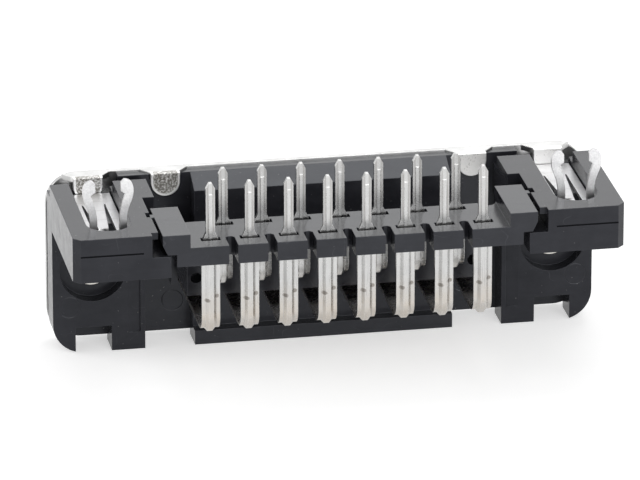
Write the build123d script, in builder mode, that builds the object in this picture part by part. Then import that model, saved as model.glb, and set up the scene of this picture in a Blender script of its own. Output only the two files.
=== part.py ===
from build123d import *
from math import radians, tan
import os

os.makedirs("parts", exist_ok=True)

# A right-angle socket connector of the 15-way D size, millimetres.
# X runs along the contact rows, +Y is the way the mating plug leaves, +Z points at the board.
# The origin is under the middle of the outline, on the edge that the connector stands on.

# The standard pattern
pitch = 2.77                 # between neighbouring contacts of a row
row_gap = 2.84               # between the two rows, at the board and in the mating face
far_count = 8                # contacts in the row away from the board
near_count = 7               # contacts in the row next to the board
footprint = 9.4              # from the panel face to the nearest tails
rear_reach = 1.66            # housing behind the farthest tails
board_rise = 0.05            # the board face above the flange's edge

# Metal shell
shell_beside = 2.635         # D tube past the end contacts, at its wide side
shell_over = 2.53            # D tube past each row
screw_beside = 4.33          # from the D tube's side to a jackscrew axis
flange_beside = 2.91         # flange past the jackscrew axes
flange_over = 2.3            # flange past the D tube, on the board's side
flange_under = 2.1           # and on the far side
foot_drop = 0.2              # the feet stand this far below the flange
flange_corner = 2.2
shell_sheet = 0.4
shell_corner = 2.6
shell_slant = 10             # degrees, the sides of the D
shell_reach = 5.9            # D tube in front of the flange
flange_hole = 3.05
tab_width = 2.1
tab_drop = 1.7
tab_flare = 0.67             # its root is this much wider on each side
tab_beside = 1.82            # from the crown's end to the middle of the inner tabs
bay_beside = 1.15            # the insulator's corners are cut away from this far inside the outer tabs
bay_depth = 1.3
shell_root = 0.3             # slope where the tube is drawn from the flange
shell_lip = 0.12             # slope round the tube's mouth

# Front insulator
insulator_sheet = 0.8        # its flange
insulator_margin = 0.15      # the metal flange stands this far past it
insulator_rise = 0.2         # its lower edge above the metal flange's
nose_chamfer = 0.25
nose_step = 0.1              # its nose ends this far inside the tube
entry_hole = 1.25
entry_sink = 1.9             # mouth of its lead-in
entry_slope = 45             # degrees
entry_depth = 0.7
entry_sides = 16             # the lead-ins are drawn with this many flats
fit = 0.04                   # clearance round seated pieces

# Contacts
barrel_diameter = 1.6
barrel_bore = 1.04
barrel_bore_depth = 4.6
barrel_sides = 10            # barrels and cavities inside the insulator are drawn with flats
strip_width = 1.3
strip_sheet = 0.3
bead_width = 0.76
bead_crest = 0.34
bead_height = 0.24
far_strip_drop = 0.19        # strips leave the barrels this far below their axes
near_strip_drop = 0.62
bend_radius = 0.95
tail_width = 0.65
tail_bead_width = 0.26
tail_bead_height = 0.07
tail_reach = 3.05            # past the board face
tail_flare = 1.1
flare_height = 0.5
flare_root = 0.3             # flares start this far down in the plate's slots
tip_width = 0.2
tip_height = 0.42

# Rear insulator
block_beside = 0.905         # the block behind the rows, past the end contacts
block_length = 4.6
block_top_drop = 3.35        # its top below the board face
block_bottom_drop = 7.12
crown_inset = 0.415          # the part that rises to the flange's edge ends this far inside the end contacts
crown_drop = 0.2
crown_fall = 0.8
base_beside = 0.3            # base past the block's end
base_bottom_drop = 8.2
base_top_drop = 4.55
base_recess = 0.55
ledge_inset = 1.24           # ledge short of the block's end
ledge_height = 1.05
rear_wall = 1.84             # from the insulator flange back to the crown's rear face
core_hole = 0.8
core_hole_inset = 0.65
core_hole_depth = 1.5
core_hole_rise = 0.5

# Tine plate, which lines up the tails
tine_drop = 1.1              # its top below the board face
tine_sheet = 1.37
tine_side_gap = 0.43         # plate's end to the bracket's tongue
tine_front_gap = 0.04        # it ends this far inside the brackets' rear face
tine_past_rows = 0.61        # plate beyond the nearer tails
end_block_width = 1.95
end_block_gap = 0.25         # to the bracket's lip
end_block_drop = 0.1
end_block_length = 5.6
end_block_lift = 0.92        # underside of the overhang above the plate's underside
end_block_bevel = 0.35
end_block_bevel_rise = 0.75
tab_reach = 0.25             # small tab that points into the bracket's key notch
tab_length = 0.6
tab_height = 0.7
notch_width = 0.65
notch_length = 1.8
notch_chamfer = 0.2
bite_radius = 0.55
bite_beside = 1.055          # past the end contacts

# Brackets
plate_thickness = 3.2
plate_inset = 2.61           # from the jackscrew axis to the plate's inner edge
foot_inset = 3.71
wall_thickness = 2.24
tongue_inset = 3.93
tongue_height = 1.57
lip_inset = 3.11
lip_height = 0.5
lip_start = 0.6
shoulder_inset = 3.96
shoulder_length = 5.1
corner_chamfer = 0.5
foot_radius = 2.2
foot_slot_width = 2.6
foot_slot_height = 1.9
lock_slot_width = 3.15
lock_slot_depth = 1.5
lock_well_width = 2.5
lock_well_length = 4.6
lock_well_past = 0.8         # the well reaches this far behind the legs
recess_diameter = 4.8        # round the insert's rear end
recess_depth = 1.1
relief_y = 1.4               # the plate's top ends here, clear of tabs and insulator
relief_drop = 0.9
key_length = 0.9
key_depth = 0.3
key_from_row = 2.0           # key starts this far in front of the farthest tails
seam_margin = 0.6            # from the plate's inner edge to the start of the seam
seam_drop = 1.32
seam_height = 0.09
seam_depth = 0.07
groove_width = 0.9
groove_depth = 0.16
groove_inset = 3.4
groove_low = 1.3

# Board locks
lock_sheet = 0.3
lock_half = 1.5
arm_inner = 0.85
arm_start = 3.9              # where the arms part from the strap, from the panel face
tongue_root = 0.75
tongue_waist = 0.44
tongue_waist_reach = 3.9     # from the parting to the waist
tongue_tip = 0.36
tongue_reach = 4.7
tongue_straight = 0.1
tongue_bend = 0.6            # radius to the middle of the sheet where its end turns down
leg_bulge = 1.78
leg_bulge_height = 2.12      # above the board face
leg_height = 3.2
leg_root = 0.78
leg_width = 0.52
leg_hook = 0.9               # inner side of the barbed head
hook_height = 2.35
hook_top = 2.95
leg_neck = 1.22              # inner side just under the head
leg_top = 1.12               # outer side of the head's rounded top
leg_lean = 0.35              # slope of the leg under its head
lug_gap = 0.1
lug_radius = 1.95
lug_sides = 12

# Threaded inserts
shank_diameter = 2.95
insert_hex = 3.6             # across the flats of its head, behind the metal flange
insert_rear = 2.84
insert_rear_y = 1.5
thread_bore = 2.4

# Worked-out places
row_half = (far_count - 1) * pitch / 2
shell_width = 2 * (row_half + shell_beside)
shell_height = row_gap + 2 * shell_over
screw_x = shell_width / 2 + screw_beside
flange_width = 2 * (screw_x + flange_beside)
flange_height = shell_height + flange_over + flange_under
flange_top = foot_drop + flange_height
panel_y = (footprint + row_gap + rear_reach - shell_reach) / 2
near_y = panel_y - footprint
far_y = near_y - row_gap
rear_y = far_y - rear_reach
shell_front_y = panel_y + shell_reach
metal_rear_y = panel_y - shell_sheet
seat_y = metal_rear_y - insulator_sheet
tab_rear_y = seat_y - shell_sheet
wall_rear_y = seat_y - wall_thickness
lock_y = far_y + row_gap / 2
axis_z = foot_drop + flange_under + shell_height / 2
board_z = flange_top + board_rise
near_z = axis_z + row_gap / 2
far_z = axis_z - row_gap / 2
tine_top = board_z - tine_drop
tine_bottom = tine_top - tine_sheet
plate_bottom = board_z - plate_thickness
slot_floor = board_z - lock_slot_depth
tab_outer_x = screw_x
lug_front_y = tab_rear_y - lug_gap
lug_rear_y = lug_front_y - lock_sheet
key_y = far_y + key_from_row
crown_half = row_half - crown_inset
tab_inner_x = crown_half + tab_beside
block_half = row_half + block_beside
base_half = block_half + base_beside
ledge_half = block_half - ledge_inset
bracket_outer = flange_width / 2
bracket_inner = screw_x - plate_inset
foot_inner = screw_x - foot_inset
tongue_inner = screw_x - tongue_inset
lip_inner = screw_x - lip_inset
shoulder_inner = screw_x - shoulder_inset
tine_half = tongue_inner - tine_side_gap
end_block_outer = lip_inner - end_block_gap
end_block_inner = end_block_outer - end_block_width


def cross_plane(y):
    # a plane across the connector; its extrusions go back, away from the panel
    return Plane(origin=(0, y, 0), x_dir=(1, 0, 0), z_dir=(0, -1, 0))


def d_outline(corner):
    # the D around the contacts, wide side away from the board, grown from its corner centres
    reach_x = shell_width / 2 - shell_corner
    reach_z = shell_height / 2 - shell_corner
    narrow_x = reach_x - 2 * reach_z * tan(radians(shell_slant))
    with Locations((0, axis_z)):
        Polygon((-reach_x, -reach_z), (reach_x, -reach_z), (narrow_x, reach_z), (-narrow_x, reach_z),
                align=None)
    offset(amount=corner, kind=Kind.ARC, mode=Mode.REPLACE)


def box_between(low, high, mode=Mode.ADD):
    size = [b - a for a, b in zip(low, high)]
    middle = [(a + b) / 2 for a, b in zip(low, high)]
    with Locations(tuple(middle)):
        Box(*size, mode=mode)


def tab_root(x, margin):
    # the strip of sheet that carries a tab over the insulator's edge, wider where it leaves the flange
    outline = [(tab_width / 2 + tab_flare + margin, metal_rear_y), (tab_width / 2 + margin, seat_y),
               (tab_width / 2 + margin, tab_rear_y)]
    Polygon(*[(x + u, y) for u, y in outline], *[(x - u, y) for u, y in reversed(outline)], align=None)


def row_places(count):
    return [(i - (count - 1) / 2) * pitch for i in range(count)]


# for each contact: across, height of its barrel, height of its strip, depth of its tail
contact_places = [(x, far_z, far_z - far_strip_drop, far_y) for x in row_places(far_count)]
contact_places += [(x, near_z, near_z - near_strip_drop, near_y) for x in row_places(near_count)]

# Metal shell: flange, D tube and four tabs folded over the insulator's top edge
with BuildPart() as front_shell:
    with BuildSketch(cross_plane(panel_y)):
        with Locations((0, flange_top - flange_height / 2)):
            RectangleRounded(flange_width, flange_height, flange_corner)
        with Locations((-screw_x, axis_z), (screw_x, axis_z)):
            Circle(flange_hole / 2, mode=Mode.SUBTRACT)
    extrude(amount=shell_sheet)
    with BuildSketch(cross_plane(shell_front_y)):
        d_outline(shell_corner)
    extrude(amount=shell_reach)
    chamfer(front_shell.faces().sort_by(Axis.Y)[-1].outer_wire().edges(), shell_lip)
    tube_root = front_shell.edges().filter_by_position(Axis.Y, panel_y, panel_y)
    tube_root = tube_root.filter_by_position(Axis.X, -shell_width / 2, shell_width / 2)
    tube_low, tube_high = axis_z - shell_height / 2, axis_z + shell_height / 2
    chamfer(tube_root.filter_by_position(Axis.Z, tube_low, tube_high), shell_root)
    with BuildSketch(cross_plane(shell_front_y)):
        d_outline(shell_corner - shell_sheet)
    extrude(amount=shell_reach + shell_sheet, mode=Mode.SUBTRACT)
    for tab_x in (-tab_outer_x, -tab_inner_x, tab_inner_x, tab_outer_x):
        with BuildSketch(Plane.XY.offset(flange_top)):
            tab_root(tab_x, 0)
        extrude(amount=-shell_sheet)
        tab_left, tab_right = tab_x - tab_width / 2, tab_x + tab_width / 2
        turn_z = flange_top - tab_drop + tab_width / 2
        with BuildSketch(cross_plane(seat_y)):
            with BuildLine():
                Polyline((tab_left, turn_z), (tab_left, flange_top), (tab_right, flange_top),
                         (tab_right, turn_z))
                ThreePointArc((tab_right, turn_z), (tab_x, flange_top - tab_drop), (tab_left, turn_z))
            make_face()
        extrude(amount=shell_sheet)

# Front insulator: thin flange, nose that fills the D tube, a stepped cavity for each socket
insulator_top = flange_top - insulator_margin
insulator_low = foot_drop + insulator_rise
bay_inner = tab_outer_x - tab_width / 2 - bay_beside
bay_width = flange_width / 2 - bay_inner
bay_x = bay_inner + bay_width / 2
with BuildPart() as front_insulator:
    with BuildSketch(cross_plane(metal_rear_y)):
        with Locations((0, (insulator_top + insulator_low) / 2)):
            RectangleRounded(flange_width - 2 * insulator_margin, insulator_top - insulator_low,
                             flange_corner)
        with Locations((-screw_x, axis_z), (screw_x, axis_z)):
            RegularPolygon(insert_hex / 2 + fit, 6, major_radius=False, mode=Mode.SUBTRACT)
        with Locations((-bay_x, flange_top), (bay_x, flange_top)):
            Rectangle(bay_width, 2 * bay_depth, mode=Mode.SUBTRACT)
    extrude(amount=insulator_sheet)
    for tab_x in (-tab_inner_x, tab_inner_x):
        with BuildSketch(Plane.XY.offset(flange_top)):
            tab_root(tab_x, fit)
        extrude(amount=-shell_sheet - fit, mode=Mode.SUBTRACT)
    with BuildSketch(cross_plane(shell_front_y - nose_step)):
        d_outline(shell_corner - shell_sheet - fit)
    extrude(amount=shell_front_y - nose_step - metal_rear_y)
    chamfer(front_insulator.faces().sort_by(Axis.Y)[-1].edges(), nose_chamfer)
    barrel_spots = [(x, z) for x, z, strip_z, tail_y in contact_places]
    with BuildSketch(cross_plane(shell_front_y - nose_step)):
        with Locations(barrel_spots):
            RegularPolygon(entry_sink / 2, entry_sides)
    extrude(amount=(entry_sink - entry_hole) / 2 / tan(radians(entry_slope)), taper=entry_slope,
            mode=Mode.SUBTRACT)
    with BuildSketch(cross_plane(shell_front_y - nose_step)):
        with Locations(barrel_spots):
            RegularPolygon(entry_hole / 2, entry_sides)
    extrude(amount=entry_depth, mode=Mode.SUBTRACT)
    with BuildSketch(cross_plane(shell_front_y - nose_step - entry_depth)):
        with Locations(barrel_spots):
            RegularPolygon(barrel_diameter / 2 + fit, barrel_sides)
    extrude(amount=shell_front_y - nose_step - entry_depth - seat_y, mode=Mode.SUBTRACT)

# Rear insulator: crown at the flange, block that carries the strips, ledge underneath
block_rear_y = seat_y - rear_wall - block_length
block_top = board_z - block_top_drop
block_bottom = board_z - block_bottom_drop
crown_top = board_z - crown_drop
crown_rear_y = seat_y - rear_wall
with BuildPart() as rear_insulator:
    with BuildSketch(Plane.YZ):
        Polygon(
            (seat_y, block_bottom),
            (seat_y, crown_top),
            (crown_rear_y, crown_top - crown_fall),
            (crown_rear_y, block_bottom),
            align=None,
        )
    extrude(amount=crown_half, both=True)
    box_between((-block_half, block_rear_y, block_bottom), (block_half, crown_rear_y, block_top))
    box_between((-base_half, crown_rear_y + base_recess, board_z - base_bottom_drop),
                (base_half, seat_y, board_z - base_top_drop))
    box_between((-ledge_half, crown_rear_y + base_recess, 0), (ledge_half, seat_y, block_bottom))
    box_between((-ledge_half, wall_rear_y, 0), (ledge_half, seat_y, ledge_height))
    for x, z, strip_z, tail_y in contact_places:
        box_between((x - strip_width / 2 - fit, block_rear_y, strip_z - strip_sheet / 2 - bead_height - fit),
                    (x + strip_width / 2 + fit, seat_y, strip_z + strip_sheet / 2 + fit),
                    mode=Mode.SUBTRACT)
    with BuildSketch(cross_plane(block_rear_y + core_hole_depth)):
        core_hole_x = block_half - core_hole_inset
        with Locations((-core_hole_x, axis_z + core_hole_rise), (core_hole_x, axis_z + core_hole_rise)):
            Circle(core_hole / 2)
    extrude(amount=core_hole_depth, mode=Mode.SUBTRACT)

# Tine plate: two rows of slots, notches behind the nearer row, end blocks over the brackets
tine_rear_y = rear_y + tine_front_gap
tine_far_y = near_y + tine_past_rows
with BuildPart() as tine_plate:
    box_between((-tine_half, tine_rear_y, tine_bottom), (tine_half, tine_far_y, tine_top))
    for side in (-1, 1):
        with BuildSketch(cross_plane(tine_rear_y + end_block_length)):
            with BuildLine():
                Polyline(
                    (side * end_block_inner, tine_bottom),
                    (side * tine_half, tine_bottom),
                    (side * tine_half, tine_bottom + end_block_lift),
                    (side * (end_block_outer - end_block_bevel), tine_bottom + end_block_lift),
                    (side * end_block_outer, tine_bottom + end_block_lift + end_block_bevel_rise),
                    (side * end_block_outer, board_z - end_block_drop),
                    (side * end_block_inner, board_z - end_block_drop),
                    close=True,
                )
            make_face()
        extrude(amount=end_block_length)
        tab_ends = sorted((side * end_block_outer, side * (end_block_outer + tab_reach)))
        tab_low_y = key_y + (key_length - tab_length) / 2
        box_between((tab_ends[0], tab_low_y, board_z - end_block_drop - tab_height),
                    (tab_ends[1], tab_low_y + tab_length, board_z - end_block_drop))
    slot_low = strip_sheet / 2 + bead_height + fit
    slot_high = strip_sheet / 2 + fit
    for x, z, strip_z, tail_y in contact_places:
        box_between((x - strip_width / 2 - fit, tail_y - slot_low, tine_bottom),
                    (x + strip_width / 2 + fit, tail_y + slot_high, tine_top), mode=Mode.SUBTRACT)
    notch_end = tine_rear_y + notch_length
    with BuildSketch(Plane.XY.offset(tine_bottom)):
        for x in row_places(near_count):
            notch_left, notch_right = x - notch_width / 2, x + notch_width / 2
            Polygon(
                (notch_left, tine_rear_y),
                (notch_right, tine_rear_y),
                (notch_right, notch_end - notch_chamfer),
                (notch_right - notch_chamfer, notch_end),
                (notch_left + notch_chamfer, notch_end),
                (notch_left, notch_end - notch_chamfer),
                align=None,
            )
        with Locations((row_half + bite_beside, tine_far_y)):
            Circle(bite_radius)
    extrude(amount=tine_sheet, mode=Mode.SUBTRACT)

# Right-hand bracket: board plate, wall behind the flange, tongue under the tine plate
with BuildPart() as bracket_right:
    box_between((bracket_inner, rear_y, plate_bottom), (bracket_outer, seat_y, board_z))
    box_between((foot_inner, wall_rear_y, 0), (bracket_outer, seat_y, board_z))
    box_between((tongue_inner, rear_y, plate_bottom),
                (bracket_inner, seat_y - shoulder_length, plate_bottom + tongue_height))
    box_between((lip_inner, rear_y + lip_start, board_z - lip_height),
                (bracket_inner, seat_y - shoulder_length, board_z))
    box_between((shoulder_inner, seat_y - shoulder_length, plate_bottom), (bracket_inner, seat_y, board_z))
    chamfer(bracket_right.edges().filter_by(Axis.Z).group_by(Axis.Y)[0].sort_by(Axis.X)[-1], corner_chamfer)
    fillet(bracket_right.edges().filter_by(Axis.Y).group_by(Axis.Z)[0].sort_by(Axis.X)[-1], foot_radius)
    with BuildSketch(cross_plane(seat_y)):
        with Locations((screw_x, axis_z)):
            Circle(insert_rear / 2 + fit)
        with Locations((screw_x, foot_slot_height / 2)):
            Rectangle(foot_slot_width, foot_slot_height)
    extrude(amount=wall_thickness, mode=Mode.SUBTRACT)
    with BuildSketch(cross_plane(wall_rear_y + recess_depth)):
        with Locations((screw_x, axis_z)):
            Circle(recess_diameter / 2)
    extrude(amount=recess_depth, mode=Mode.SUBTRACT)
    box_between((shoulder_inner, relief_y, board_z - relief_drop), (bracket_outer, seat_y, board_z),
                mode=Mode.SUBTRACT)
    with BuildSketch(Plane.XY.offset(board_z)):
        with Locations((screw_x, (lock_y + seat_y) / 2)):
            Rectangle(lock_slot_width, seat_y - lock_y)
        with Locations((screw_x, lock_y)):
            Circle(lock_slot_width / 2)
    extrude(amount=-lock_slot_depth, mode=Mode.SUBTRACT)
    well_low_y = lock_y - lock_well_past
    box_between((screw_x - lock_well_width / 2, well_low_y, plate_bottom),
                (screw_x + lock_well_width / 2, well_low_y + lock_well_length, slot_floor),
                mode=Mode.SUBTRACT)
    with BuildSketch(cross_plane(seat_y)):
        with Locations((screw_x, axis_z)):
            RegularPolygon(lug_radius + fit, lug_sides)
        with Locations((screw_x, (axis_z + slot_floor) / 2)):
            Rectangle(lock_slot_width, slot_floor - axis_z)
    extrude(amount=seat_y - lug_rear_y + fit, mode=Mode.SUBTRACT)
    box_between((lip_inner, key_y, board_z - lip_height),
                (lip_inner + key_depth, key_y + key_length, board_z), mode=Mode.SUBTRACT)
    box_between((bracket_inner + seam_margin, rear_y, board_z - seam_drop),
                (bracket_outer - corner_chamfer, rear_y + seam_depth, board_z - seam_drop + seam_height),
                mode=Mode.SUBTRACT)
    groove_left = screw_x - groove_inset
    with BuildSketch(Plane.XY.offset(groove_low)):
        Polygon((groove_left, wall_rear_y + groove_depth), (groove_left, wall_rear_y),
                (groove_left + groove_width, wall_rear_y), align=None)
    extrude(amount=plate_bottom - groove_low, mode=Mode.SUBTRACT)

with BuildPart() as bracket_left:
    mirror(bracket_right.part, about=Plane.YZ)

# Right-hand board lock: strap in the bracket's slot, two barbed legs, sprung tongue, grounding lug
arm_y = panel_y - arm_start
with BuildPart() as board_lock_right:
    half_outline = [
        (lock_half, lug_front_y),
        (lock_half, lock_y - lock_sheet / 2),
        (arm_inner, lock_y - lock_sheet / 2),
        (arm_inner, arm_y),
        (tongue_root, arm_y),
        (tongue_waist, arm_y - tongue_waist_reach),
        (tongue_tip, arm_y - tongue_reach),
    ]
    with BuildSketch(Plane.XY.offset(slot_floor)):
        with BuildLine():
            Polyline(
                [(screw_x + u, y) for u, y in half_outline]
                + [(screw_x - u, y) for u, y in reversed(half_outline)],
                close=True,
            )
        make_face()
    extrude(amount=lock_sheet)
    with BuildSketch(cross_plane(lug_front_y)):
        with Locations((screw_x, (axis_z + slot_floor) / 2)):
            Rectangle(2 * lock_half, slot_floor - axis_z)
        with Locations((screw_x, axis_z)):
            RegularPolygon(lug_radius, lug_sides)
            RegularPolygon(flange_hole / 2, lug_sides, major_radius=False, mode=Mode.SUBTRACT)
    extrude(amount=lock_sheet)
    tip_y, tip_z = arm_y - tongue_reach, slot_floor + lock_sheet / 2
    turn_y = tip_y - tongue_straight
    with BuildLine() as turn:
        Line((screw_x, tip_y, tip_z), (screw_x, turn_y, tip_z))
        RadiusArc((screw_x, turn_y, tip_z), (screw_x, turn_y - tongue_bend, tip_z - tongue_bend), tongue_bend)
    with BuildSketch(cross_plane(tip_y)):
        with Locations((screw_x, tip_z)):
            Rectangle(2 * tongue_tip, lock_sheet)
    sweep(path=turn.wires()[0])
    with BuildSketch(cross_plane(lock_y + lock_sheet / 2)):
        for side in (-1, 1):
            with BuildLine():
                root_in, root_out = screw_x + side * leg_root, screw_x + side * (leg_root + leg_width)
                neck = (screw_x + side * leg_neck, board_z + leg_bulge_height)
                hook = (screw_x + side * leg_hook, board_z + hook_height)
                bulge = (screw_x + side * leg_bulge, board_z + leg_bulge_height)
                top = (screw_x + side * leg_top, board_z + leg_height)
                Polyline((root_in, board_z), (root_in, slot_floor), (root_out, slot_floor),
                         (root_out, board_z))
                Spline((root_out, board_z), bulge, top, tangents=[(0, 1), (-side, 0)])
                Polyline(top, (screw_x + side * leg_hook, board_z + hook_top), hook, neck)
                Spline(neck, (root_in, board_z), tangents=[(-side * leg_lean, -1), (0, -1)])
            make_face()
    extrude(amount=lock_sheet)

with BuildPart() as board_lock_left:
    mirror(board_lock_right.part, about=Plane.YZ)

# Threaded inserts: shank through the metal flange, hex head behind it, sleeve into the bracket's recess
with BuildPart() as threaded_insert_right:
    for start_y, end_y, diameter in (
        (panel_y, metal_rear_y, shank_diameter),
        (seat_y, insert_rear_y, insert_rear),
    ):
        with BuildSketch(cross_plane(start_y)):
            with Locations((screw_x, axis_z)):
                Circle(diameter / 2)
        extrude(amount=start_y - end_y)
    with BuildSketch(cross_plane(metal_rear_y)):
        with Locations((screw_x, axis_z)):
            RegularPolygon(insert_hex / 2, 6, major_radius=False)
    extrude(amount=metal_rear_y - seat_y)
    with BuildSketch(cross_plane(panel_y)):
        with Locations((screw_x, axis_z)):
            Circle(thread_bore / 2)
    extrude(amount=panel_y - insert_rear_y, mode=Mode.SUBTRACT)

with BuildPart() as threaded_insert_left:
    mirror(threaded_insert_right.part, about=Plane.YZ)


# A contact: socket barrel, beaded strip bent up through the tine plate, flared solder tail
def make_contact(x, z, strip_z, tail_y):
    barrel_front_y = shell_front_y - nose_step - entry_depth - fit
    tip_z = board_z + tail_reach
    tail_root_z = tine_top - flare_root
    with BuildPart() as contact:
        with BuildSketch(cross_plane(barrel_front_y)):
            with Locations((x, z)):
                RegularPolygon(barrel_diameter / 2, barrel_sides)
        extrude(amount=barrel_front_y - seat_y)
        with BuildSketch(cross_plane(barrel_front_y)):
            with Locations((x, z)):
                RegularPolygon(barrel_bore / 2, barrel_sides)
        extrude(amount=barrel_bore_depth, mode=Mode.SUBTRACT)
        with BuildLine() as route:
            FilletPolyline((x, seat_y, strip_z), (x, tail_y, strip_z), (x, tail_y, tail_root_z),
                           radius=bend_radius)
        with BuildSketch(Plane(origin=(x, seat_y, strip_z), x_dir=(1, 0, 0), z_dir=(0, -1, 0))):
            Rectangle(strip_width, strip_sheet)
            with BuildLine():
                Polyline(
                    (-bead_width / 2, -strip_sheet / 2),
                    (-bead_crest / 2, -strip_sheet / 2 - bead_height),
                    (bead_crest / 2, -strip_sheet / 2 - bead_height),
                    (bead_width / 2, -strip_sheet / 2),
                    close=True,
                )
            make_face()
        sweep(path=route.wires()[0])
        with BuildSketch(cross_plane(tail_y + strip_sheet / 2)):
            with BuildLine():
                Polyline(
                    (x - tail_flare / 2, tail_root_z),
                    (x - tail_flare / 2, tine_top),
                    (x - tail_width / 2, tine_top + flare_height),
                    (x - tail_width / 2, tip_z - tip_height),
                    (x - tip_width / 2, tip_z),
                    (x + tip_width / 2, tip_z),
                    (x + tail_width / 2, tip_z - tip_height),
                    (x + tail_width / 2, tine_top + flare_height),
                    (x + tail_flare / 2, tine_top),
                    (x + tail_flare / 2, tail_root_z),
                    close=True,
                )
            make_face()
        extrude(amount=strip_sheet)
        box_between((x - tail_bead_width / 2, tail_y - strip_sheet / 2 - tail_bead_height, tail_root_z),
                    (x + tail_bead_width / 2, tail_y, tip_z - 2 * tip_height))
    return contact.part


pieces = {
    "front_shell": front_shell.part,
    "front_insulator": front_insulator.part,
    "rear_insulator": rear_insulator.part,
    "tine_plate": tine_plate.part,
    "bracket_right": bracket_right.part,
    "bracket_left": bracket_left.part,
    "board_lock_right": board_lock_right.part,
    "board_lock_left": board_lock_left.part,
    "threaded_insert_right": threaded_insert_right.part,
    "threaded_insert_left": threaded_insert_left.part,
}
for number, place in enumerate(contact_places, start=1):
    pieces[f"contact_{number:02d}"] = make_contact(*place)

for name, piece in pieces.items():
    piece.label = name
    export_step(piece, f"parts/{name}.step")
    print(name, round(piece.volume, 3), piece.is_valid)
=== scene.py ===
import math

import bmesh
import bpy
from mathutils import Matrix, Vector


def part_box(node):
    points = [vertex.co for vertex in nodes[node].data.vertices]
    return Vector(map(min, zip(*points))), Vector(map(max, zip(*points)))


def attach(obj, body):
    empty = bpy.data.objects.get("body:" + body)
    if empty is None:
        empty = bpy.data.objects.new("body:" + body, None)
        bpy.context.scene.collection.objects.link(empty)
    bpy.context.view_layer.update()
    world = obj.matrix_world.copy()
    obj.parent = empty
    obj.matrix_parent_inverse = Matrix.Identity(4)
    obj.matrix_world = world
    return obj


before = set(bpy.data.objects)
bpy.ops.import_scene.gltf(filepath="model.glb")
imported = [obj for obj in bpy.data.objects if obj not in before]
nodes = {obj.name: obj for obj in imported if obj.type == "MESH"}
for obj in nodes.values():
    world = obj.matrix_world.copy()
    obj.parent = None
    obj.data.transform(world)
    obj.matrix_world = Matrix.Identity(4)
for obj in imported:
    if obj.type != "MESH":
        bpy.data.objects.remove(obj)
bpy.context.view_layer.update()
mm = 0.001
perMetre = 1 / mm
print("frame loaded,", len(nodes), "nodes")


class Wire:
    # a node's output that can stand in a sum, so that a pattern reads as maths
    def __init__(self, recipe, socket):
        self.recipe = recipe
        self.socket = socket

    def sum(self, operation, first, second=0.0):
        return self.recipe.node("ShaderNodeMath", {"operation": operation}, {0: first, 1: second})

    def __add__(self, other):
        return self.sum("ADD", self, other)

    def __radd__(self, other):
        return self.sum("ADD", other, self)

    def __sub__(self, other):
        return self.sum("SUBTRACT", self, other)

    def __rsub__(self, other):
        return self.sum("SUBTRACT", other, self)

    def __mul__(self, other):
        return self.sum("MULTIPLY", self, other)

    def __rmul__(self, other):
        return self.sum("MULTIPLY", other, self)

    def __truediv__(self, other):
        return self.sum("DIVIDE", self, other)

    def __rtruediv__(self, other):
        return self.sum("DIVIDE", other, self)

    def __pow__(self, other):
        return self.sum("POWER", self, other)

    def __mod__(self, other):
        return self.sum("FLOORED_MODULO", self, other)

    def __abs__(self):
        return self.sum("ABSOLUTE", self)

    def atMost(self, other):
        return self.sum("MINIMUM", self, other)


class Recipe:
    # a node tree and the few moves that it is written in
    def __init__(self, tree):
        self.tree = tree

    def node(self, kind, settings=None, inputs=None, out=0):
        made = self.tree.nodes.new(kind)
        for key, value in (settings or {}).items():
            setattr(made, key, value)
        for key, value in (inputs or {}).items():
            if isinstance(value, Wire):
                self.tree.links.new(value.socket, made.inputs[key])
            else:
                made.inputs[key].default_value = value
        return Wire(self, made.outputs[out])

    def between(self, wire, low, high, toLow=0.0, toHigh=1.0):
        # toLow where the wire is at low, toHigh where it is at high, and no further past either
        return self.node("ShaderNodeMapRange", {"clamp": True},
                         {"Value": wire, "From Min": low, "From Max": high,
                          "To Min": toLow, "To Max": toHigh})

    def blend(self, factor, first, second):
        # sockets 6 and 7 of a Mix node are its two colours
        return self.node("ShaderNodeMix", {"data_type": "RGBA"}, {0: factor, 6: first, 7: second}, out=2)

    def seenDirectly(self):
        # 1 for the camera and in mirrors and glass, 0 where only light is gathered
        rays = [self.node("ShaderNodeLightPath", out=ray)
                for ray in ("Is Camera Ray", "Is Glossy Ray", "Is Transmission Ray")]
        return self.between(rays[0] + rays[1] + rays[2], 0.0, 1.0)


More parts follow.
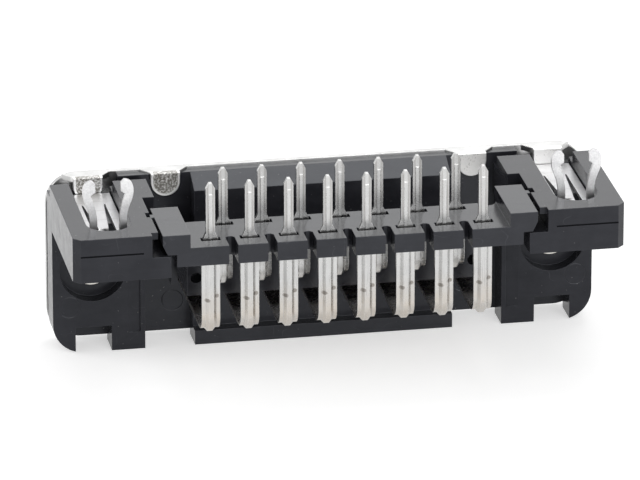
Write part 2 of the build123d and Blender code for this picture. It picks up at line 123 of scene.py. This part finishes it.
class Finish(Recipe):
    # one material, its patterns in millimetres
    roundingRays = 6
    noiseRoughness = 0.6
    # cosine between the true normal and the rounded one, where an edge begins and where it is full
    edgeBegins, edgeFull = 0.995, 0.8

    def __init__(self, name, **constants):
        # an underscore stands for the space in a socket's name
        self.material = bpy.data.materials.new(name)
        self.material.use_nodes = True
        super().__init__(self.material.node_tree)
        self.shader = self.tree.nodes["Principled BSDF"]
        for socketName, value in constants.items():
            self.shader.inputs[socketName.replace("_", " ")].default_value = value

    def place(self):
        return self.node("ShaderNodeTexCoord", out="Object")

    def axes(self):
        split = self.node("ShaderNodeSeparateXYZ", {}, {0: self.place()}).socket.node.outputs
        return [Wire(self, split[i]) * perMetre for i in range(3)]

    def stretched(self, x, y, z):
        # a factor below 1 draws the pattern out along that axis
        return self.node("ShaderNodeMapping", {}, {"Vector": self.place(), "Scale": (x, y, z)})

    def noise(self, size, detail=3.0, vector=None):
        # size of the blotches
        return self.node("ShaderNodeTexNoise", {},
                         {"Vector": vector or self.place(), "Scale": perMetre / size,
                          "Detail": detail, "Roughness": self.noiseRoughness})

    def patches(self, size, detail, *stops):
        # a noise between two stops, so that it stands in patches
        return self.between(self.noise(size, detail), *stops)

    def facing(self, axis):
        # how far the surface looks along an axis, from -1 to 1
        normal = self.node("ShaderNodeNewGeometry", out="Normal")
        return self.node("ShaderNodeSeparateXYZ", {}, {0: normal}, out=axis)

    def away(self, first, second):
        # distance in a plane from two differences
        return (first * first + second * second) ** 0.5

    def edges(self, radius):
        # 0 on flat faces, up to 1 on an edge, and the rounded normal itself
        rounded = self.node("ShaderNodeBevel", {"samples": self.roundingRays}, {"Radius": radius * mm})
        flat = self.node("ShaderNodeNewGeometry", out="Normal")
        cosine = self.node("ShaderNodeVectorMath", {"operation": "DOT_PRODUCT"}, {0: rounded, 1: flat},
                           out="Value")
        return self.between(cosine, self.edgeBegins, self.edgeFull), rounded

    def bump(self, height, depth, normal):
        return self.node("ShaderNodeBump", {}, {"Height": height, "Distance": depth * mm, "Strength": 1.0,
                                                "Normal": normal})

    def wear(self, **looks):
        # what changes over the surface goes to the shader's own sockets
        for socketName, wire in looks.items():
            self.tree.links.new(wire.socket, self.shader.inputs[socketName.replace("_", " ")])
        return self.material


# black glass-filled moulding: satin, with fibre grain, flow streaks, thin pale scuffs, paler edges and dust;
# the paler edges are partly wear and partly a painted highlight
# patches and specks are given as size, detail, and the stops of their noise
moulding = {"dark": (0.0180, 0.0181, 0.0222, 1), "pale": (0.0270, 0.0272, 0.0325, 1), "mottle": (0.38, 0.62),
            "blotch": 2.6, "streak": 0.9, "streakDrawn": (0.25, 1.0, 1.0), "grain": 0.09, "relief": 0.004,
            "edge": (0.085, 0.089, 0.10, 1), "edgeRadius": 0.06,
            "edgePatches": (0.5, 3.0, 0.35, 0.6, 0.25, 0.8),
            "scuff": (0.075, 0.077, 0.083, 1), "scuffSize": 2.2, "scuffHalf": 0.004,
            "scuffPatches": (1.5, 2.0, 0.52, 0.62), "scuffed": 0.6,
            "dust": (0.35, 0.35, 0.34, 1), "dustSpecks": (0.13, 0.0, 0.85, 0.87), "dusty": 0.4,
            "roughness": 0.17, "rougherStreaks": (0.3, 0.7, -0.03, 0.06), "rougherGrain": 0.05,
            "tint": (0.90, 0.94, 1.0, 1), "insulatorShine": 0.38, "bracketShine": 0.26}
# where the two halves of the brackets' mould met, a dark line across their rear faces: painted shade in the
# parting line's groove
partingLine = {"from": 14.65, "to": 19.07, "height": 11.275, "half": 0.075, "behind": -9.8, "soft": 0.02,
               "grooveShade": (0.004, 0.004, 0.005, 1), "blackMetalShare": 0.85}
# rings left by the mould's ejector pins, with their middles given as x, z
ejector = {"radius": 0.775, "line": 0.05, "depth": 0.022,
           "onInsulator": (10.6, 2.65), "onBracket": (18.36, 3.5)}


def onPartingLine(finish, x, y, z):
    soft = partingLine["soft"]
    height = finish.between(abs(z - partingLine["height"]), partingLine["half"], partingLine["half"] - soft)
    rear = finish.between(y, partingLine["behind"], partingLine["behind"] - soft)
    inner = finish.between(abs(x), partingLine["from"] - soft, partingLine["from"])
    outer = finish.between(abs(x), partingLine["to"] + soft, partingLine["to"])
    return height * rear * inner * outer


def mouldedPlastic(name, shine, ejectorAt):
    finish = Finish(name, Specular_IOR_Level=shine, Specular_Tint=moulding["tint"])
    x, y, z = finish.axes()
    edge, rounded = finish.edges(moulding["edgeRadius"])
    blotch = finish.noise(moulding["blotch"])
    streak = finish.noise(moulding["streak"], 4.0, finish.stretched(*moulding["streakDrawn"]))
    grain = finish.noise(moulding["grain"], 2.0)
    dust = finish.patches(*moulding["dustSpecks"])
    # a scuff runs where its noise is near the middle, and only in patches
    scuff = finish.between(abs(finish.noise(moulding["scuffSize"], 1.0) - 0.5), moulding["scuffHalf"], 0.0)
    scuff = scuff * finish.patches(*moulding["scuffPatches"])
    # paler edges in patches: edge wear, and a painted highlight along the edges
    paleEdge = edge * finish.patches(*moulding["edgePatches"])
    colour = finish.blend(finish.between(blotch * 0.6 + streak * 0.4, *moulding["mottle"]),
                          moulding["dark"], moulding["pale"])
    colour = finish.blend(paleEdge, colour, moulding["edge"])
    colour = finish.blend(scuff * moulding["scuffed"], colour, moulding["scuff"])
    colour = finish.blend(dust * moulding["dusty"], colour, moulding["dust"])
    roughness = moulding["roughness"] + finish.between(streak, *moulding["rougherStreaks"])
    roughness = roughness + grain * moulding["rougherGrain"]
    # painted shade in the parting line's groove, dark and without gloss
    line = onPartingLine(finish, x, y, z)
    colour = finish.blend(line, colour, partingLine["grooveShade"])
    # the same mark on the left and on the right
    pin = abs(finish.away(abs(x) - ejectorAt[0], z - ejectorAt[1]) - ejector["radius"])
    relief = finish.bump(finish.between(pin, 0.0, ejector["line"]), ejector["depth"], rounded)
    relief = finish.bump(grain * 0.6 + streak * 0.4, moulding["relief"], relief)
    # the painted shade in the line takes the gloss away too, so it counts as black metal
    return finish.wear(Base_Color=colour, Roughness=roughness, Metallic=line * partingLine["blackMetalShare"],
                       Normal=relief)


# bright tin over stamped strip: rolled grain along the strip, soft blotches, bright edges that are burnished
# and carry a painted highlight
tin = {"bright": (0.58, 0.58, 0.575, 1), "dull": (0.49, 0.49, 0.485, 1), "warm": (0.54, 0.495, 0.44, 1),
       "mark": (0.20, 0.18, 0.16, 1), "edge": (0.90, 0.895, 0.89, 1), "shadeAndMarks": (0.30, 0.29, 0.28, 1),
       "mottle": (0.40, 0.72), "grain": 0.11, "rolled": (1.0, 1.0, 0.08), "blotch": 0.8, "relief": 0.0015,
       "roughness": 0.25, "rougherBlotches": (0.35, 0.7, -0.03, 0.05), "rougherGrain": 0.04,
       "edgeRadius": 0.05, "burnishedAndHighlit": 0.7}
lockTin = dict(tin, bright=(0.75, 0.75, 0.755, 1), dull=(0.50, 0.50, 0.51, 1), rolled=(1.0, 0.12, 1.0),
               roughness=0.36)
nickel = dict(tin, bright=(0.72, 0.70, 0.66, 1), dull=(0.58, 0.56, 0.52, 1), rolled=(1.0, 0.1, 1.0),
              roughness=0.2)


class Plating(Finish):
    # tin or nickel, with its grain drawn out along the strip or bar that it was rolled as
    def __init__(self, name, plate):
        super().__init__(name, Metallic=1.0)
        self.plate = plate
        self.grain = self.noise(plate["grain"], 3.0, self.stretched(*plate["rolled"]))
        self.blotch = self.noise(plate["blotch"], 4.0)
        self.colour = self.blend(self.between(self.blotch * 0.5 + self.grain * 0.5, *plate["mottle"]),
                                 plate["bright"], plate["dull"])
        self.roughness = plate["roughness"] + self.between(self.blotch, *plate["rougherBlotches"])
        self.roughness = self.roughness + self.grain * plate["rougherGrain"]

    def tint(self, amount, tone, rougher=0.0):
        self.colour = self.blend(amount, self.colour, self.plate[tone])
        self.roughness = self.roughness + amount * rougher

    def finished(self):
        edge, rounded = self.edges(self.plate["edgeRadius"])
        # brighter edges: burnished, and a painted highlight
        self.tint(edge * self.plate["burnishedAndHighlit"], "edge")
        relief = self.bump(self.grain * 0.6 + self.blotch * 0.4, self.plate["relief"], rounded)
        return self.wear(Base_Color=self.colour, Roughness=self.roughness, Normal=relief)


# a pair says where a finish begins and where it is full
strip = {"pitch": 2.77,  # within a row; the strips of both rows together stand half of it apart
         "nearRow": (-6.4, -6.0), "farRow": (-8.3, -8.35), "facingRear": (-0.1, -0.5),  # along y
         "warm": (8.0, 5.6), "tails": (11.0, 11.6), "flareTop": (11.8, 12.1),  # heights
         "creaseShadeTop": (10.2, 9.8), "scratchFoot": (6.2, 6.8), "scratchTop": (9.0, 7.6),
         "beadFlank": (0.11, 0.14), "tailEdge": (0.30, 0.25),  # across, from a strip's middle
         "beadFoot": 0.39, "creaseShadeEdge": (0.035, 0.01),
         "warmPatches": (1.3, 2.0, 0.3, 0.6, 0.4, 0.9),
         "streak": 0.25, "streakDrawn": (1.0, 1.0, 0.06), "streaked": (0.35, 0.65),
         "scratch": 0.07, "scratchDrawn": (1.0, 1.0, 0.04), "scratches": (0.62, 0.7),
         "dulledAndShaded": 0.6, "flankShaded": 0.35, "flankStreaked": 0.45, "creaseShaded": 0.7, "scratched": 0.5}
# two small dull marks of the bending tool on each strip of the far row: from its middle, height, half sizes
toolMarks = {"spots": ((-0.27, 6.92, 0.19, 0.14), (0.40, 7.20, 0.17, 0.15)), "edge": (1.2, 0.8),
             "ragged": 0.2, "raggedBy": 0.6, "dulledAndShaded": 0.8, "rougher": 0.2}


def platedContact():
    finish = Plating("tinnedContact", tin)
    x, y, z = finish.axes()
    # warm where the strips bend under the black block; a painted shade makes the tails of the near row greyer
    finish.tint(finish.between(z, *strip["warm"]) * finish.patches(*strip["warmPatches"]), "warm")
    finish.tint(finish.between(y, *strip["nearRow"]) * finish.between(z, *strip["tails"]) * strip["dulledAndShaded"],
                "dull")
    apart = strip["pitch"] / 2
    across = (x + apart / 2) % apart - apart / 2
    side = abs(across)
    streaks = finish.noise(strip["streak"], 2.0, finish.stretched(*strip["streakDrawn"]))
    streaks = finish.between(streaks, *strip["streaked"])
    # painted shade: grey flanks beside the tails' bead on faces turned rearward, and thin dark lines in the
    # crease along the foot of the strips' bead
    rearward = finish.between(finish.facing("Y"), *strip["facingRear"])
    above = finish.between(z, *strip["flareTop"]) * rearward
    shadedFlank = finish.between(side, *strip["beadFlank"]) * finish.between(side, *strip["tailEdge"])
    finish.tint(shadedFlank * above * (strip["flankShaded"] + streaks * strip["flankStreaked"]), "shadeAndMarks")
    # painted shade: a thin dark line in the crease along the bead's foot
    shadeAndMarks = finish.between(abs(side - strip["beadFoot"]), *strip["creaseShadeEdge"])
    shadeAndMarks = shadeAndMarks * finish.between(z, *strip["creaseShadeTop"])
    finish.tint(shadeAndMarks * streaks * strip["creaseShaded"], "shadeAndMarks")
    ragged = finish.noise(toolMarks["ragged"], 2.0) * toolMarks["raggedBy"] - toolMarks["raggedBy"] / 2
    farRow = finish.between(y, *strip["farRow"])
    for left, height, halfWidth, halfHeight in toolMarks["spots"]:
        spot = finish.away((across - left) / halfWidth, (z - height) / halfHeight) + ragged
        finish.tint(finish.between(spot, *toolMarks["edge"]) * farRow * toolMarks["dulledAndShaded"], "mark",
                    toolMarks["rougher"])
    # fine scratches along the strips of the far row
    scratched = finish.noise(strip["scratch"], 1.0, finish.stretched(*strip["scratchDrawn"]))
    scratched = finish.between(scratched, *strip["scratches"]) * farRow
    scratched = scratched * finish.between(z, *strip["scratchFoot"]) * finish.between(z, *strip["scratchTop"])
    finish.tint(scratched * strip["scratched"], "shadeAndMarks")
    return finish.finished()


# tinned steel shell: bright drawn faces, crinkled tin where the tabs are folded, with painted reflections in
# the crinkle and a painted highlight on the tabs' rim
drawn = {"plain": (0.60, 0.60, 0.595, 1), "cloudy": (0.48, 0.48, 0.475, 1), "cloud": 1.7,
         "clouds": (0.35, 0.7), "dark": (0.22, 0.21, 0.19, 1), "light": (0.92, 0.915, 0.90, 1),
         "crinkle": 0.15, "crinkles": (0.43, 0.56), "relief": 0.02, "reliefUnfolded": 0.1,
         "highlitRim": (0.93, 0.93, 0.92, 1), "paleEdge": (0.76, 0.76, 0.755, 1), "edgeWear": 0.8, "edgeRadius": 0.09,
         "roughness": 0.24, "rougherClouds": (0.3, 0.7, 0.0, 0.14), "rougherFolded": 0.06}
# the folded tabs' middles, measured from the connector's middle, and their round ends
# their painted reflections get darker from right to left
tabs = {"inner": 11.1, "outer": 16.66, "turn": 11.85, "folded": (3.0, 2.75), "highlitRim": (0.84, 0.92),
        "rightAndLeft": (12.0, -12.0), "darkerLeftward": (-0.11, 0.03)}


def drawnSteel():
    finish = Finish("tinnedSteel", Metallic=1.0)
    edge, rounded = finish.edges(drawn["edgeRadius"])
    x, y, z = finish.axes()
    folded = finish.between(y, *tabs["folded"])
    beside = abs(abs(x) - tabs["inner"]).atMost(abs(abs(x) - tabs["outer"]))
    # a painted highlight along the folded tabs' rounded rim
    highlitRim = finish.between(finish.away(beside, (z - tabs["turn"]).atMost(0.0)), *tabs["highlitRim"])
    fine = finish.noise(drawn["crinkle"], 4.0)
    cloud = finish.noise(drawn["cloud"], 4.0)
    darkerLeftward = finish.between(x, *tabs["rightAndLeft"], *tabs["darkerLeftward"])
    plain = finish.blend(finish.between(cloud, *drawn["clouds"]), drawn["plain"], drawn["cloudy"])
    # crinkled tin: the crinkle's dark and light patches are painted reflections
    crinkleReflections = finish.blend(finish.between(fine * 0.6 + cloud * 0.4 - darkerLeftward, *drawn["crinkles"]),
                            drawn["dark"], drawn["light"])
    colour = finish.blend(folded, plain, finish.blend(highlitRim, crinkleReflections, drawn["highlitRim"]))
    colour = finish.blend(edge * (1 - folded) * drawn["edgeWear"], colour, drawn["paleEdge"])
    roughness = drawn["roughness"] + finish.between(cloud, *drawn["rougherClouds"])
    roughness = roughness + folded * drawn["rougherFolded"]
    height = fine * (drawn["reliefUnfolded"] + folded * (1 - drawn["reliefUnfolded"]))
    relief = finish.bump(height, drawn["relief"], rounded)
    return finish.wear(Base_Color=colour, Roughness=roughness, Normal=relief)


# board locks: a painted shade where the strap lies level, facing up, with a faint press line across it now
# and then
strap = {"level": (0.7, 0.95), "dulledAndShaded": 0.85, "lineGap": 1.75, "line": (0.07, 0.02), "lined": 0.35,
         "wander": 0.5, "wanderSize": 1.8}


def springLock():
    finish = Plating("tinnedLock", lockTin)
    # painted shade on the strap's upward faces
    level = finish.between(finish.facing("Z"), *strap["level"])
    finish.tint(level * strap["dulledAndShaded"], "dull")
    along = finish.axes()[1]
    apart = (along + finish.noise(strap["wanderSize"], 1.0) * strap["wander"]) % strap["lineGap"]
    line = finish.between(abs(apart - strap["lineGap"] / 2), *strap["line"])
    finish.tint(line * level * strap["lined"], "shadeAndMarks")
    return finish.finished()


blackInsulator = mouldedPlastic("blackInsulator", moulding["insulatorShine"], ejector["onInsulator"])
blackBracket = mouldedPlastic("blackBracket", moulding["bracketShine"], ejector["onBracket"])
tinnedContact = platedContact()
tinnedLock = springLock()
nickelInsert = Plating("nickelInsert", nickel).finished()
tinnedSteel = drawnSteel()

finishOf = {"front_shell": tinnedSteel, "front_insulator": blackInsulator, "rear_insulator": blackInsulator,
            "tine_plate": blackInsulator, "bracket": blackBracket, "board_lock": tinnedLock,
            "threaded_insert": nickelInsert, "contact": tinnedContact}
for nodeName, node in nodes.items():
    for start, material in finishOf.items():
        if nodeName.startswith(start):
            node.data.materials.clear()
            node.data.materials.append(material)
print("finishes on")


def addToInsert(name, shape):
    # makes the finished shape a piece of its own, in the insert's metal
    mesh = bpy.data.meshes.new(name)
    shape.to_mesh(mesh)
    shape.free()
    piece = bpy.data.objects.new(name, mesh)
    bpy.context.collection.objects.link(piece)
    mesh.materials.append(nickelInsert)
    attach(piece, "root")


# threads inside the inserts, a ridge wound along the bore
# flank is half the width of the ridge's foot, as a share of the pitch
thread = {"bore": 1.2, "pitch": 0.635, "shadedFlank": 0.42, "ridge": 0.11, "sunk": 0.02, "margin": 0.12,
          "stepsPerTurn": 24}


def woundThread(side):
    low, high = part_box("threaded_insert_" + side)
    middle = (low + high) / 2
    bore = thread["bore"] * mm
    root = bore + thread["sunk"] * mm
    half = thread["pitch"] * thread["shadedFlank"] * mm
    start = low.y + thread["margin"] * mm + half
    turns = ((high.y - low.y) / mm - 2 * thread["margin"]) / thread["pitch"] - 1
    steps = round(turns * thread["stepsPerTurn"])
    ridge = bmesh.new()
    corners = [ridge.verts.new((middle.x + root, start - half, middle.z)),
               ridge.verts.new((middle.x + bore - thread["ridge"] * mm, start, middle.z)),
               ridge.verts.new((middle.x + root, start + half, middle.z))]
    profile = [ridge.edges.new(pair) for pair in zip(corners, corners[1:] + corners[:1])]
    bmesh.ops.spin(ridge, geom=corners + profile, cent=middle, axis=(0, 1, 0), angle=turns * math.tau,
                   steps=steps, dvec=(0, turns * thread["pitch"] * mm / steps, 0))
    # the two ends are closed with a triangle each
    bmesh.ops.holes_fill(ridge, edges=[edge for edge in ridge.edges if edge.is_boundary], sides=3)
    bmesh.ops.recalc_face_normals(ridge, faces=ridge.faces)
    addToInsert("thread_" + side, ridge)


# the sleeve's end is rolled out a little way into the bracket's recess
sleeveEnd = {"outer": 1.42, "length": 0.28, "round": 0.06, "roundSteps": 3, "steps": 64}


def rolledEnd(side):
    low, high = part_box("threaded_insert_" + side)
    middle = (low + high) / 2
    inside, outside = thread["bore"] * mm, sleeveEnd["outer"] * mm
    rear, front = low.y - sleeveEnd["length"] * mm, low.y + thread["sunk"] * mm
    lip = bmesh.new()
    corners = [lip.verts.new((middle.x + radius, y, middle.z))
               for radius, y in ((inside, front), (inside, rear), (outside, rear), (outside, front))]
    for pair in zip(corners, corners[1:] + corners[:1]):
        lip.edges.new(pair)
    rearCorners = corners[1:3]
    bmesh.ops.bevel(lip, geom=rearCorners, offset=sleeveEnd["round"] * mm, affect="VERTICES",
                    segments=sleeveEnd["roundSteps"], profile=0.5, material=-1)
    bmesh.ops.spin(lip, geom=lip.verts[:] + lip.edges[:], cent=middle, axis=(0, 1, 0), angle=math.tau,
                   steps=sleeveEnd["steps"], use_merge=True)
    bmesh.ops.recalc_face_normals(lip, faces=lip.faces)
    for face in lip.faces:
        face.smooth = True
    addToInsert("sleeve_end_" + side, lip)


for side in ("left", "right"):
    woundThread(side)
    rolledEnd(side)
print("threads cut, sleeves rolled")

# plain pale studio: white floor, white surroundings, soft lamps
# around is how strongly the surroundings light the connector, and white is how strong they look
# floorLift is added only where the floor is seen, so that it looks white and keeps the shadow
studio = {"floorSize": 6.0, "floor": 0.82, "floorRoughness": 0.9, "floorLift": 0.52, "around": 0.46,
          "white": 1.0, "aim": (0, 0, 0.006)}
# each lamp's place and width in metres, and its watts
lamps = {"keyLamp": ((0.16, 0.27, 0.57), 0.28, 0.5), "fillLamp": ((0.15, -0.52, 0.22), 0.50, 1.6),
         "sideLamp": ((-0.50, 0.10, 0.25), 0.35, 0.75), "backLamp": ((0.06, 0.55, 0.24), 0.45, 0.33)}

for name, (place, width, watts) in lamps.items():
    lamp = bpy.data.lights.new(name, "AREA")
    lamp.shape = "DISK"
    lamp.size = width
    lamp.energy = watts
    hung = bpy.data.objects.new(name, lamp)
    hung.location = place
    hung.rotation_euler = (Vector(studio["aim"]) - Vector(place)).to_track_quat("-Z", "Y").to_euler()
    bpy.context.collection.objects.link(hung)

world = bpy.data.worlds.new("whiteRoom")
bpy.context.scene.world = world
world.use_nodes = True
air = Recipe(world.node_tree)
strength = air.between(air.seenDirectly(), 0.0, 1.0, studio["around"], studio["white"])
background = world.node_tree.nodes["Background"]
background.inputs["Color"].default_value = (1, 1, 1, 1)
air.tree.links.new(strength.socket, background.inputs["Strength"])

sheet = bmesh.new()
bmesh.ops.create_grid(sheet, x_segments=1, y_segments=1, size=studio["floorSize"])
floorMesh = bpy.data.meshes.new("paleFloor")
sheet.to_mesh(floorMesh)
sheet.free()
floor = bpy.data.objects.new("paleFloor", floorMesh)
bpy.context.collection.objects.link(floor)
paper = Finish("paleFloor", Roughness=studio["floorRoughness"], Specular_IOR_Level=0.0, Emission_Strength=1.0,
               Base_Color=(studio["floor"],) * 3 + (1,))
lift = paper.blend(paper.seenDirectly(), (0, 0, 0, 1), (studio["floorLift"],) * 3 + (1,))
floorMesh.materials.append(paper.wear(Emission_Color=lift))
print("studio set")

# the photograph was taken from behind and above, a little to the left, with a long lens; angles in degrees,
# distance and target in millimetres, and clipStart in metres
shot = {"yaw": 10.49, "elevation": 20.93, "distance": 499.1, "target": (-1.92, -8.24, 10.79),
        "focalPixels": 7140, "photoWidth": 640, "sensorWidth": 36, "clipStart": 0.01}
yaw, elevation = math.radians(shot["yaw"]), math.radians(shot["elevation"])
outward = math.cos(elevation)
back = Vector((-math.sin(yaw) * outward, -math.cos(yaw) * outward, math.sin(elevation)))
right = Vector((math.cos(yaw), -math.sin(yaw), 0))
lens = bpy.data.cameras.new("photoCamera")
lens.sensor_width = shot["sensorWidth"]
lens.lens = shot["focalPixels"] * lens.sensor_width / shot["photoWidth"]
lens.clip_start = shot["clipStart"]
camera = bpy.data.objects.new("photoCamera", lens)
turned = Matrix((right, back.cross(right), back)).transposed()
camera.matrix_world = turned.to_4x4()
camera.location = (Vector(shot["target"]) + back * shot["distance"]) * mm
bpy.context.collection.objects.link(camera)
bpy.context.scene.camera = camera
bpy.context.scene.view_settings.view_transform = "Standard"
print("camera placed")
